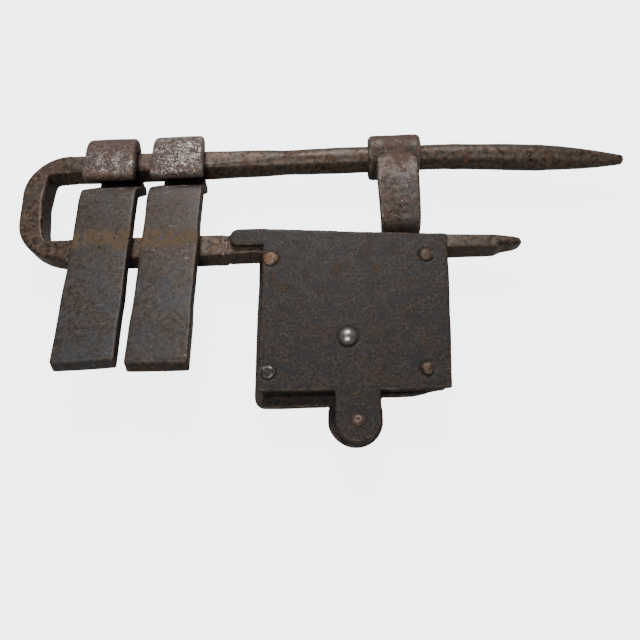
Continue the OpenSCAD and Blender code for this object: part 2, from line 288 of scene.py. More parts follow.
def flow(points: Array, step: float, soften: float) -> Array:
    """Turns a chain of points into evenly spaced points with rounded corners.

    The chain is cut into short equal steps, averaged with a bell of width
    soften, its ends held by mirrored copies, and cut again at the given step.

    Args:
        points: the chain, shape (n, d).
        step: distance between the points that come back.
        soften: width of the bell, in millimetres.

    Returns:
        Points, shape (m, d).
    """

    def even(p: Array, gap: float) -> Array:
        run = np.concatenate([[0], np.cumsum(np.linalg.norm(np.diff(p, axis=0), axis=1))])
        s = np.linspace(0, run[-1], max(2, round(run[-1] / gap) + 1))
        return np.stack([np.interp(s, run, p[:, k]) for k in range(p.shape[1])], axis=1)

    fine = even(np.asarray(points, float), 0.2)
    reach = max(1, round(3 * soften / 0.2))
    bell = np.exp(-0.5 * (np.arange(-reach, reach + 1) * 0.2 / soften) ** 2)
    bell /= bell.sum()
    head = 2 * fine[0] - fine[reach:0:-1]
    tail = 2 * fine[-1] - fine[-2 : -reach - 2 : -1]
    padded = np.vstack([head, fine, tail])
    soft = [np.convolve(padded[:, k], bell, "valid") for k in range(fine.shape[1])]
    return even(np.stack(soft, axis=1), step)


def lengths(path: Array) -> Array:
    """Distance of each point from the start of its path."""
    return np.concatenate([[0], np.cumsum(np.linalg.norm(np.diff(path, axis=0), axis=1))])


def end_inset(run: Array, radius: float) -> Array:
    """How much a section shrinks near both ends for a rounded edge.

    It is radius - sqrt(radius^2 - (radius - d)^2), with d the distance from
    the nearer end.
    """
    d = np.clip(np.minimum(run, run[-1] - run), 0, radius)
    return radius - np.sqrt(np.maximum(radius**2 - (radius - d) ** 2, 0))


def coordinates(obj: Object) -> Array:
    """A mesh's vertices in millimetres, shape (n, 3)."""
    co = np.empty(len(obj.data.vertices) * 3)
    obj.data.vertices.foreach_get("co", co)
    return co.reshape(-1, 3) / MM


def set_coordinates(obj: Object, points: Array) -> None:
    """Puts vertices, given in millimetres, into a mesh."""
    obj.data.vertices.foreach_set("co", (points * MM).ravel())
    obj.data.update()


def normals(obj: Object) -> Array:
    """A mesh's vertex normals, shape (n, 3)."""
    out = np.empty(len(obj.data.vertices) * 3)
    obj.data.vertex_normals.foreach_get("vector", out)
    return out.reshape(-1, 3)


def edges(obj: Object) -> Array:
    """A mesh's edges as pairs of vertex numbers."""
    out = np.empty(len(obj.data.edges) * 2, np.int32)
    obj.data.edges.foreach_get("vertices", out)
    return out.reshape(-1, 2)


def neighbour_mean(values: Array, pairs: Array) -> Array:
    """Average of each vertex's neighbours."""
    total = np.zeros_like(values)
    count = np.zeros(len(values))
    for a, b in ((0, 1), (1, 0)):
        np.add.at(total, pairs[:, a], values[pairs[:, b]])
        np.add.at(count, pairs[:, a], 1)
    count = np.maximum(count, 1)
    return total / (count[:, None] if values.ndim == 2 else count)


def relax(obj: Object, rounds: int, keep: float = 0.5) -> None:
    """Moves each vertex part of the way to its neighbours' average."""
    pairs = edges(obj)
    points = coordinates(obj)
    for _ in range(rounds):
        points += (1 - keep) * (neighbour_mean(points, pairs) - points)
    set_coordinates(obj, points)


def mark_edges(obj: Object) -> None:
    """Writes how convex the surface is at each vertex, from 0 to 1.

    The curvature is 2 (p - mean of neighbours) . n / (mean neighbour distance)^2,
    averaged twice. A rounded edge has about 1 / (2 radius), so a radius over
    4.5 mm gives 0 and one under 1.5 mm gives 1.
    """
    pairs = edges(obj)
    points = coordinates(obj)
    gap = np.linalg.norm(points[pairs[:, 0]] - points[pairs[:, 1]], axis=1)
    squared = np.zeros(len(points))
    count = np.zeros(len(points))
    for k in (0, 1):
        np.add.at(squared, pairs[:, k], gap**2)
        np.add.at(count, pairs[:, k], 1)
    squared /= np.maximum(count, 1)
    rise = np.sum((points - neighbour_mean(points, pairs)) * normals(obj), axis=1)
    curve = 2 * rise / np.maximum(squared, 1e-9)
    for _ in range(2):
        curve = 0.5 * curve + 0.5 * neighbour_mean(curve, pairs)
    wear = smoothstep(0.11, 0.34, curve).astype(np.float32)
    attribute = obj.data.attributes.new(WEAR, "FLOAT", "POINT")
    attribute.data.foreach_set("value", wear)


@dataclass(frozen=True)
class Hammering:
    """How a piece's surface is dented: wide dents, then a fine skin."""

    depth: float = 0.16
    pitch: float = 7.0
    skin: float = 0.035
    skin_pitch: float = 1.3
    swell: float = 0.0
    sway: float = 0.0
    sway_pitch: float = 16.0

    def strike(self, obj: Object, seed: int) -> None:
        """Moves vertices along their normals by the noise, and sideways by the sway.

        Args:
            obj: the piece to dent.
            seed: picks the pattern.
        """
        points = coordinates(obj)
        dent = self.depth * fractal(points, self.pitch, 2, seed)
        dent += self.skin * noise(points, self.skin_pitch, seed + 5)
        moved = points + normals(obj) * (self.swell + np.minimum(dent, HIGHEST_BUMP))[:, None]
        if self.sway:
            for k in (0, 1):
                moved[:, k] += self.sway * noise(points, self.sway_pitch, seed + 31 + k)
        set_coordinates(obj, moved)


def remeshed(obj: Object, voxel: float, rounds: int = 2) -> None:
    """Makes one even skin of a piece's shapes, as if forge-welded.

    Args:
        obj: the piece, whose closed shapes may cross.
        voxel: size of the new faces, in millimetres.
        rounds: how often the new skin is relaxed.
    """
    modifier = obj.modifiers.new("Skin", "REMESH")
    modifier.mode = "VOXEL"
    modifier.voxel_size = voxel * MM
    bpy.context.view_layer.update()
    graph = bpy.context.evaluated_depsgraph_get()
    mesh = bpy.data.meshes.new_from_object(obj.evaluated_get(graph))
    obj.modifiers.clear()
    old = obj.data
    obj.data = mesh
    bpy.data.meshes.remove(old)
    relax(obj, rounds)


def from_bmesh(name: str, whole: Any) -> Object:
    """Makes an object of a bmesh and frees it."""
    mesh = bpy.data.meshes.new(name)
    whole.to_mesh(mesh)
    whole.free()
    return linked(name, mesh)


def joined(name: str, parts: list[Object]) -> Object:
    """Puts several closed shapes into one object."""
    whole = bmesh.new()
    for part in parts:
        whole.from_mesh(part.data)
        bpy.data.objects.remove(part)
    return from_bmesh(name, whole)


def merged_copy(node: Object, name: str) -> Object:
    """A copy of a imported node's mesh with its loose triangles joined."""
    whole = bmesh.new()
    whole.from_mesh(node.data)
    bmesh.ops.remove_doubles(whole, verts=whole.verts, dist=1e-6)
    return from_bmesh(name, whole)


# ---------------------------------------------------------------- node trees


class Graph:
    """Short calls that add nodes to a tree and wire them."""

    def __init__(self, tree: Any) -> None:
        """Keeps the tree that the nodes go into."""
        self.tree = tree

    def add(self, kind: str, **settings: Any) -> Any:
        """Adds a node and sets its properties."""
        node = self.tree.nodes.new(kind)
        for key, value in settings.items():
            setattr(node, key, value)
        return node

    def feed(self, target: Socket, source: Any) -> None:
        """Wires a socket to a socket, or sets it to a constant."""
        if isinstance(source, bpy.types.NodeSocket):
            self.tree.links.new(source, target)
        elif isinstance(source, tuple) and target.type == "RGBA":
            target.default_value = (*source, 1.0)
        else:
            target.default_value = source

    def math(self, operation: str, a: Any, b: Any = 0.0, clamp: bool = False) -> Socket:
        """A Math node's result."""
        node = self.add("ShaderNodeMath", operation=operation, use_clamp=clamp)
        self.feed(node.inputs[0], a)
        self.feed(node.inputs[1], b)
        return node.outputs[0]

    def product(self, a: Any, b: Any, clamp: bool = False) -> Socket:
        """a times b."""
        return self.math("MULTIPLY", a, b, clamp)

    def blend(self, a: Any, b: Any, share: float) -> Socket:
        """The share of a and the rest of b, added."""
        return self.math("ADD", self.product(a, share), self.product(b, 1 - share))

    def mix(self, factor: Any, a: Any, b: Any, kind: str = "MIX") -> Socket:
        """A colour mixed from a and b."""
        node = self.add("ShaderNodeMix", data_type="RGBA", blend_type=kind)
        for index, value in ((0, factor), (6, a), (7, b)):
            self.feed(node.inputs[index], value)
        return node.outputs[2]

    def step(self, x: Any, low: Any, high: Any, to_low: Any = 0.0, to_high: Any = 1.0) -> Socket:
        """x eased from low..high to to_low..to_high."""
        node = self.add("ShaderNodeMapRange", interpolation_type="SMOOTHSTEP")
        for index, value in enumerate((x, low, high, to_low, to_high)):
            self.feed(node.inputs[index], value)
        return node.outputs[0]

    def noise(self, at: Any, scale: Any, detail: float = 4.0, rough: float = 0.55,
              bend: float = 0.0) -> Socket:
        """A noise texture's value, about 0.3 to 0.7."""
        node = self.add("ShaderNodeTexNoise")
        for key, value in (("Vector", at), ("Scale", scale), ("Detail", detail),
                           ("Roughness", rough), ("Distortion", bend)):
            self.feed(node.inputs[key], value)
        return node.outputs["Fac"]

    def shifted(self, at: Any, offset: Colour, stretch: Colour = (1.0, 1.0, 1.0),
                turn: Colour = (0.0, 0.0, 0.0)) -> Socket:
        """Coordinates moved, turned and stretched."""
        node = self.add("ShaderNodeMapping")
        self.feed(node.inputs["Vector"], at)
        node.inputs["Location"].default_value = offset
        node.inputs["Rotation"].default_value = turn
        node.inputs["Scale"].default_value = stretch
        return node.outputs[0]


class Group:
    """A shader node group with named inputs and outputs."""

    def __init__(self, name: str, inputs: list[tuple[str, str, Any]],
                 outputs: list[tuple[str, str]]) -> None:
        """Makes the group's tree and sockets.

        Args:
            name: the group's name.
            inputs: name, kind (Float, Vector or Color) and first value of each.
            outputs: name and kind of each.
        """
        self.tree = bpy.data.node_groups.new(name, "ShaderNodeTree")
        for label, kind, value in inputs:
            socket = self.tree.interface.new_socket(
                label, in_out="INPUT", socket_type="NodeSocket" + kind)
            if value is not None:
                socket.default_value = (*value, 1.0) if kind == "Color" else value
        for label, kind in outputs:
            self.tree.interface.new_socket(
                label, in_out="OUTPUT", socket_type="NodeSocket" + kind)
        self.graph = Graph(self.tree)
        self.into = self.graph.add("NodeGroupInput").outputs
        self.out = self.graph.add("NodeGroupOutput").inputs

    def place(self, graph: Graph, **values: Any) -> Any:
        """Puts the group into a material and feeds its inputs.

        Args:
            graph: the material's graph.
            values: sockets or constants, named with _ for a space.

        Returns:
            The group node's outputs.
        """
        node = graph.add("ShaderNodeGroup", node_tree=self.tree)
        for key, value in values.items():
            graph.feed(node.inputs[key.replace("_", " ")], value)
        return node.outputs


def forged_tone() -> Group:
    """Scale on forged iron: two browns mottled, a cool or warm cast, fine grain.

    Returns:
        A group with Color, Height and Patch outputs.
    """
    group = Group(
        "ForgedTone",
        [("Vector", "Vector", None), ("Dark", "Color", (0.03, 0.025, 0.02)),
         ("Light", "Color", (0.1, 0.08, 0.07)), ("Cast", "Color", (0.05, 0.06, 0.07)),
         ("Cast Amount", "Float", 0.3), ("Mottle", "Float", 300.0),
         ("Grain", "Float", 2600.0), ("Spread", "Float", 0.14)],
        [("Color", "Color"), ("Height", "Float"), ("Patch", "Float")])
    g, i = group.graph, group.into
    wide = g.noise(i["Vector"], i["Mottle"], 5.0, 0.6, 0.3)
    fine = g.noise(i["Vector"], i["Grain"], 4.0, 0.7)
    moved = g.shifted(i["Vector"], (3.1, 1.7, 0.4))
    broad = g.noise(moved, g.product(i["Mottle"], 0.22), 3.0, 0.5)
    share = g.blend(wide, fine, 0.55)
    low, high = g.math("SUBTRACT", 0.5, i["Spread"]), g.math("ADD", 0.5, i["Spread"])
    base = g.mix(g.step(share, low, high), i["Dark"], i["Light"])
    cast = g.product(g.step(broad, 0.46, 0.62), i["Cast Amount"])
    g.feed(group.out["Color"], g.mix(cast, base, i["Cast"]))
    g.feed(group.out["Height"], share)
    g.feed(group.out["Patch"], broad)
    return group


def rust_patches() -> Group:
    """Rust that breaks through in ragged patches.

    Returns:
        A group with Color and Mask outputs.
    """
    group = Group(
        "RustPatches",
        [("Vector", "Vector", None), ("Color", "Color", (0.1, 0.1, 0.1)),
         ("Rust Dark", "Color", (0.07, 0.03, 0.015)),
         ("Rust Light", "Color", (0.2, 0.09, 0.035)), ("Amount", "Float", 0.4),
         ("Scale", "Float", 160.0), ("Where", "Float", 1.0)],
        [("Color", "Color"), ("Mask", "Float")])
    g, i = group.graph, group.into
    field = g.noise(g.shifted(i["Vector"], (0.7, 2.3, 1.1)), i["Scale"], 7.0, 0.66, 0.5)
    edge = g.math("SUBTRACT", 0.70, g.product(i["Amount"], 0.34))
    patch = g.step(field, edge, g.math("ADD", edge, 0.11))
    mask = g.product(patch, i["Where"], clamp=True)
    speck = g.noise(i["Vector"], g.product(i["Scale"], 9.0), 3.0, 0.65)
    rust = g.mix(g.step(speck, 0.38, 0.64), i["Rust Dark"], i["Rust Light"])
    g.feed(group.out["Color"], g.mix(g.product(mask, 0.85), i["Color"], rust))
    g.feed(group.out["Mask"], mask)
    return group


def bright_pits() -> Group:
    """Bare metal that shows as bright specks between pits.

    Returns:
        A group with Color and Mask outputs.
    """
    group = Group(
        "BrightPits",
        [("Vector", "Vector", None), ("Color", "Color", (0.1, 0.1, 0.1)),
         ("Bright", "Color", (0.5, 0.47, 0.45)), ("Amount", "Float", 0.5),
         ("Scale", "Float", 1100.0), ("Where", "Float", 1.0)],
        [("Color", "Color"), ("Mask", "Float")])
    g, i = group.graph, group.into
    fleck = g.noise(g.shifted(i["Vector"], (5.3, 0.2, 2.9)), i["Scale"], 5.0, 0.72, 0.6)
    cloud = g.noise(i["Vector"], g.product(i["Scale"], 0.2), 3.0, 0.6)
    field = g.blend(fleck, cloud, 0.7)
    edge = g.math("SUBTRACT", 0.66, g.product(i["Amount"], 0.22))
    speck = g.step(field, edge, g.math("ADD", edge, 0.07))
    mask = g.product(speck, i["Where"], clamp=True)
    g.feed(group.out["Color"], g.mix(mask, i["Color"], i["Bright"]))
    g.feed(group.out["Mask"], mask)
    return group


def edge_wear() -> Group:
    """Bare metal along the edges, broken up by noise.

    Returns:
        A group with Color and Mask outputs.
    """
    group = Group(
        "EdgeWear",
        [("Vector", "Vector", None), ("Color", "Color", (0.1, 0.1, 0.1)),
         ("Bright", "Color", (0.4, 0.37, 0.34)), ("Wear", "Float", 0.0),
         ("Amount", "Float", 0.5)],
        [("Color", "Color"), ("Mask", "Float")])
    g, i = group.graph, group.into
    rub = g.noise(i["Vector"], 260.0, 3.0, 0.6)
    nick = g.noise(i["Vector"], 1500.0, 3.0, 0.7)
    gate = g.step(g.blend(rub, nick, 0.7), 0.4, 0.62)
    mask = g.product(g.product(i["Wear"], gate), i["Amount"], clamp=True)
    g.feed(group.out["Color"], g.mix(mask, i["Color"], i["Bright"]))
    g.feed(group.out["Mask"], mask)
    return group


def scratches() -> Group:
    """Thin scratches in two directions.

    Returns:
        A group with a Mask output.
    """
    group = Group(
        "Scratches",
        [("Vector", "Vector", None), ("Amount", "Float", 0.5)],
        [("Mask", "Float")])
    g, i = group.graph, group.into
    edge = g.math("SUBTRACT", 0.80, g.product(i["Amount"], 0.2))
    masks = []
    for turn, shift in ((0.15, 1.0), (-0.7, 4.0)):
        at = g.shifted(
            i["Vector"], (shift, shift, 0.0), (190.0, 1900.0, 190.0), (0.0, 0.0, turn))
        line = g.noise(at, 1.0, 3.0, 0.6, 0.4)
        masks.append(g.step(line, edge, g.math("ADD", edge, 0.06)))
    g.feed(group.out["Mask"], g.math("MAXIMUM", masks[0], masks[1]))
    return group


class Axis(Enum):
    """The row frame's axes, as Separate XYZ numbers them."""

    X = 0
    Y = 1
    Z = 2


@dataclass(frozen=True)
class Band:
    """A stretch along one axis, in millimetres, with soft ragged ends."""

    axis: Axis
    low: float
    high: float
    soft: float = 3.0

    def mask(self, g: Graph, at: Socket) -> Socket:
        """1 inside the stretch and 0 outside.

        Args:
            g: the material's graph.
            at: ragged coordinates in metres.

        Returns:
            The mask's socket.
        """
        parts = g.add("ShaderNodeSeparateXYZ")
        g.feed(parts.inputs[0], at)
        c = parts.outputs[self.axis.value]
        soft = self.soft * MM
        rise = g.step(c, self.low * MM - soft, self.low * MM + soft)
        fall = g.step(c, self.high * MM - soft, self.high * MM + soft)
        return g.math("SUBTRACT", rise, fall, clamp=True)


@dataclass(frozen=True)
class Rust:
    """One layer of rust on a finish."""

    dark: Colour
    light: Colour
    amount: float
    scale: float
    where: tuple[Band, ...] = ()


@dataclass(frozen=True)
class Iron:
    """A forged iron finish: its scale, rust, bare metal and grain."""

    name: str
    dark: Colour
    light: Colour
    cast: Colour
    cast_amount: float = 0.35
    mottle: float = 300.0
    grain: float = 2600.0
    spread: float = 0.12
    rusts: tuple[Rust, ...] = ()
    bright: Colour = (0.42, 0.38, 0.35)
    pits: float = 0.0
    pits_where: tuple[Band, ...] = ()
    pits_scale: float = 1100.0
    cool: Optional[Colour] = None
    cool_where: tuple[Band, ...] = ()
    edge: Colour = (0.26, 0.23, 0.20)
    wear: float = 0.6
    scratch: float = 0.3
    rough: float = 0.55
    metal: float = 0.35
    bump: float = 0.35


class Looks:
    """Builds the node groups once and each finish from them."""

    def __init__(self) -> None:
        """Makes the shared groups."""
        self.tone = forged_tone()
        self.rust = rust_patches()
        self.pits = bright_pits()
        self.wear = edge_wear()
        self.scratch = scratches()

    @staticmethod
    def where(g: Graph, at: Socket, bands: tuple[Band, ...]) -> Any:
        """The product of several bands' masks, or 1 where there are none."""
        if not bands:
            return 1.0
        total, *others = (band.mask(g, at) for band in bands)
        for mask in others:
            total = g.product(total, mask)
        return total

    @staticmethod
    def ragged(g: Graph, at: Socket) -> Socket:
        """Coordinates shifted by coloured noise, so that bands end unevenly."""
        stir = g.add("ShaderNodeTexNoise")
        g.feed(stir.inputs["Vector"], at)
        stir.inputs["Scale"].default_value = 120.0
        stir.inputs["Detail"].default_value = 4.0
        centred = g.add("ShaderNodeVectorMath", operation="SUBTRACT")
        g.feed(centred.inputs[0], stir.outputs["Color"])
        centred.inputs[1].default_value = (0.5, 0.5, 0.5)
        scaled = g.add("ShaderNodeVectorMath", operation="SCALE")
        g.feed(scaled.inputs[0], centred.outputs[0])
        scaled.inputs["Scale"].default_value = BAND_STIR * MM
        moved = g.add("ShaderNodeVectorMath", operation="ADD")
        g.feed(moved.inputs[0], at)
        g.feed(moved.inputs[1], scaled.outputs[0])
        return moved.outputs[0]

    def iron(self, finish: Iron) -> Any:
        """Makes the material for one finish.

        Args:
            finish: its colours and amounts.

        Returns:
            The material.
        """
        material = bpy.data.materials.new(finish.name)
        material.use_nodes = True
        g = Graph(material.node_tree)
        shader = material.node_tree.nodes["Principled BSDF"]
        at = g.add("ShaderNodeTexCoord").outputs["Object"]
        ragged = self.ragged(g, at)
        tone = self.tone.place(
            g, Vector=at, Dark=finish.dark, Light=finish.light, Cast=finish.cast,
            Cast_Amount=finish.cast_amount, Mottle=finish.mottle, Grain=finish.grain,
            Spread=finish.spread)
        colour = tone["Color"]
        if finish.cool is not None:
            share = self.where(g, ragged, finish.cool_where)
            patch = g.step(tone["Patch"], 0.3, 0.6, 0.45, 1.0)
            tinted = g.mix(1.0, colour, finish.cool, "MULTIPLY")
            colour = g.mix(g.product(share, patch), colour, tinted)
        crust: Any = 0.0
        for layer in finish.rusts:
            rust = self.rust.place(
                g, Vector=at, Color=colour, Rust_Dark=layer.dark, Rust_Light=layer.light,
                Amount=layer.amount, Scale=layer.scale,
                Where=self.where(g, ragged, layer.where))
            colour = rust["Color"]
            crust = g.math("MAXIMUM", crust, rust["Mask"])
        bare: Any = 0.0
        if finish.pits > 0:
            pits = self.pits.place(
                g, Vector=at, Color=colour, Bright=finish.bright, Amount=finish.pits,
                Scale=finish.pits_scale, Where=self.where(g, ragged, finish.pits_where))
            colour, bare = pits["Color"], pits["Mask"]
        rub = g.add("ShaderNodeAttribute", attribute_name=WEAR).outputs["Fac"]
        wear = self.wear.place(g, Vector=at, Color=colour, Bright=finish.edge, Wear=rub,
                               Amount=finish.wear)
        colour = wear["Color"]
        bare = g.math("MAXIMUM", bare, wear["Mask"])
        mark = self.scratch.place(g, Vector=at, Amount=finish.scratch)["Mask"]
        mark = g.product(mark, 0.5)
        colour = g.mix(mark, colour, finish.bright)
        bare = g.math("MAXIMUM", bare, mark)

        shader.inputs["Specular IOR Level"].default_value = SPECULAR
        g.feed(shader.inputs["Base Color"], colour)
        g.feed(shader.inputs["Metallic"], self.metal(g, bare, crust, finish.metal))
        g.feed(shader.inputs["Roughness"], self.roughness(g, tone, bare, crust, finish.rough))
        height = g.math("ADD", tone["Height"], g.product(crust, 0.25))
        height = g.math("SUBTRACT", height, g.product(bare, 0.12))
        bump = g.add("ShaderNodeBump")
        bump.inputs["Strength"].default_value = finish.bump
        bump.inputs["Distance"].default_value = BUMP_HEIGHT * MM
        g.feed(bump.inputs["Height"], height)
        g.feed(shader.inputs["Normal"], bump.outputs[0])
        return material

    @staticmethod
    def metal(g: Graph, bare: Any, crust: Any, base: float) -> Socket:
        """Metallic share: base, less under rust, near 1 where metal is bare."""
        under = g.math("SUBTRACT", base, g.product(crust, base * 0.8))
        return g.math("MAXIMUM", under, g.product(bare, 0.9))

    @staticmethod
    def roughness(g: Graph, tone: Any, bare: Any, crust: Any, base: float) -> Socket:
        """Roughness: base and grain, more under rust, less where metal is bare."""
        grain = g.product(g.math("SUBTRACT", tone["Height"], 0.5), 0.35)
        total = g.math("ADD", base, grain)
        total = g.math("ADD", total, g.product(crust, 0.22))
        return g.math("SUBTRACT", total, g.product(bare, 0.2), clamp=True)


# ---------------------------------------------------------------- the pieces


def finish_piece(obj: Object, body: str, nodes: tuple[str, ...], material: Any) -> None:
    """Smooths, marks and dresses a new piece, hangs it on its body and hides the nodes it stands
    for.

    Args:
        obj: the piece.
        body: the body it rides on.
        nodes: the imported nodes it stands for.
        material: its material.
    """
    mark_edges(obj)
    obj.data.polygons.foreach_set("use_smooth", np.ones(len(obj.data.polygons), bool))
    obj.data.materials.clear()
    obj.data.materials.append(material)
    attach(obj, body)
    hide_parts(*nodes)
    LOG.info("%s: %d faces on %s", obj.name, len(obj.data.polygons), body)


@dataclass
class BoltBar:
    """The U-shaped bolt: a square bar bent back on itself, rounded and pointed."""

    step: float = 0.7
    top_bend: float = 22.0
    left: float = -162.7
    nose: float = 82.6
    point: float = 137.9
    bend_stations: int = 110
    top_stations: int = 398
    hammering: Hammering = Hammering(depth=0.09, pitch=13.0, skin=0.015)

    def lower_edges(self, x: Array) -> tuple[Array, Array]:
        """The lower arm's lower and upper edge at each X.

        The upper edge falls to the right; the lower edge has a small nick, a
        step at the ear and the catch's notch, and rises at the nose.
        """
        low = np.interp(
            x, [-140, -57.4, -56.6, -52, 60, 70, 73, 79, 82.6],
            [44.2, 44.2, 44.6, 44.85, 44.8, 44.8, 46.0, 46.6, 48.0])
        low = low + 0.5 * np.exp(-(((x + 45) / 2.2) ** 2))
        notch = smoothstep(3.4, 3.9, x) - smoothstep(9.1, 9.6, x)
        high = np.interp(
            x, [-140, -42, 49, 62, 68.5, 74, 78.8, 81.2, 82.6],
            [55.8, 55.7, 52.4, 52.0, 51.8, 51.5, 51.2, 50.6, 49.6])
        return low + 3.4 * notch, high

    def upper_arm(self, x: Array) -> tuple[Array, Array, Array]:
        """The upper arm's middle line, half thickness and corner radius at each X.

        It is square to the left, turns round before the eye, keeps its
        thickness beyond it, then tapers and droops to a blunt tip.
        """
        half = np.interp(
            x, [-140, -66, -43, -20, 38, 42, 66, 82, 96, 107, 117, 126, 133, 136.5, 138],
            [5.5, 5.5, 5.85, 5.93, 5.86, 5.86, 5.98, 6.15, 6.0, 5.5, 4.75, 3.75, 2.8, 2.3, 2.1])
        centre = ARM_Y + np.interp(
            x, [-140, 50, 60, 72, 82, 106, 126, 134, 138],
            [0, 0, -0.35, -1.1, -1.8, -3.4, -5.1, -5.7, -5.9])
        corner = np.interp(
            x, [-140, -68, -50, -30, -14, 0, 40], [1.9, 2.1, 3.2, 4.7, 5.5, 5.8, 5.9])
        return centre, half, corner

    def bend(self, count: int) -> tuple[Array, Array]:
        """Outer and inner edge of the bend, from the lower arm up to the upper arm.

        The outer edge is a quarter ellipse, a leaning side and a quarter
        circle. The inner edge has two tight corners.
        """
        t = np.linspace(0, math.pi / 2, 60)
        low = np.stack([BEND_X - 27.2 * np.sin(t), 67.8 - 23.6 * np.cos(t)], axis=1)
        r = self.top_bend
        high = np.stack(
            [self.left + r - r * np.cos(t), 84.0 + r * np.sin(t)], axis=1)
        outer = flow(np.vstack([low, high]), 0.3, 1.2)
        inner = flow(
            np.array([[BEND_X, 55.8], [-146.9, 55.9], [-149.3, 63.0], [-151.4, 79.0],
                      [-150.6, 94.6], [self.left + r, 95.0]]), 0.3, 1.7)
        share = np.linspace(0, 1, count)
        rails = []
        for rail in (outer, inner):
            run = lengths(rail) / lengths(rail)[-1]
            rails.append(np.stack([np.interp(share, run, rail[:, k]) for k in (0, 1)], axis=1))
        return rails[0], rails[1]

    def build(self, material: Any) -> None:
        """Carries the section along the two edges of the bar.

        At each station the middle is the average of the two edges, the first
        half size is half their distance, and the second is the half depth.
        """
        x_low = np.arange(self.nose, BEND_X, -self.step)
        low, high = self.lower_edges(x_low)
        bend_outer, bend_inner = self.bend(self.bend_stations)
        x_up = np.linspace(
            self.left + self.top_bend + self.step, self.point, self.top_stations)
        centre, half, corner_up = self.upper_arm(x_up)
        o = np.vstack([np.stack([x_low, low], axis=1), bend_outer,
                       np.stack([x_up, centre + half], axis=1)])
        i = np.vstack([np.stack([x_low, high], axis=1), bend_inner,
                       np.stack([x_up, centre - half], axis=1)])
        n_low, n_bend = len(x_low), self.bend_stations
        a = np.linalg.norm(i - o, axis=1) / 2
        b_low = np.interp(
            x_low, [-140, -57.5, -56.5, 60, 70, 78, 81, 82.6],
            [5.5, 5.5, 5.3, 5.3, 5.1, 4.4, 3.6, 2.6])
        groove = np.exp(-(((x_low - GROOVE_X) / 0.6) ** 2))
        b_low = b_low - 0.5 * groove
        a[:n_low] -= 0.3 * groove
        b = np.concatenate([b_low, np.full(n_bend, HALF_BAR), half])
        corner_low = np.interp(
            x_low, [-140, -57, 40, 66, 76, 82.6], [0.9, 1.1, 1.1, 1.5, 2.3, 1.8])
        corner = np.concatenate([corner_low, np.full(n_bend, 1.5), corner_up])
        run = np.arange(len(a)) * self.step
        inset = end_inset(run, 1.6)
        a, b = np.maximum(a - inset, 0.15), np.maximum(b - inset, 0.15)
        jitter = noise(np.stack([run, run * 0, run * 0], axis=1), 14.0, 3)
        corner = np.maximum(corner * (1 + 0.2 * jitter), 0.15)
        shape = section(a, b, corner, 13, 13, 8)
        # faces left by the hammer on the round arm: sections pulled in 8 times round
        angle = np.arctan2(shape[:, :, 1], shape[:, :, 0])
        x_all = (o[:, 0] + i[:, 0]) / 2
        pull = np.interp(
            x_all, [-70, -40, -15, 30, 60, 120], [0.0, 0.03, 0.02, 0.014, 0.012, 0.02])
        pull = np.where(np.arange(len(a)) >= n_low + n_bend, pull, 0)
        shape *= (1 - pull[:, None] * (0.5 - 0.5 * np.cos(8 * angle)))[:, :, None]
        middle = np.column_stack([(o + i) / 2, np.full(len(a), MID_Z)])
        across = np.column_stack([i - o, np.zeros(len(a))])
        across /= np.linalg.norm(across, axis=1)[:, None]
        depth = np.tile([0.0, 0.0, 1.0], (len(a), 1))
        bar = tube("bolt_bar", carried(middle, across, depth, shape))
        self.hammering.strike(bar, 11)
        finish_piece(bar, "bolt", ("u_bolt",), material)


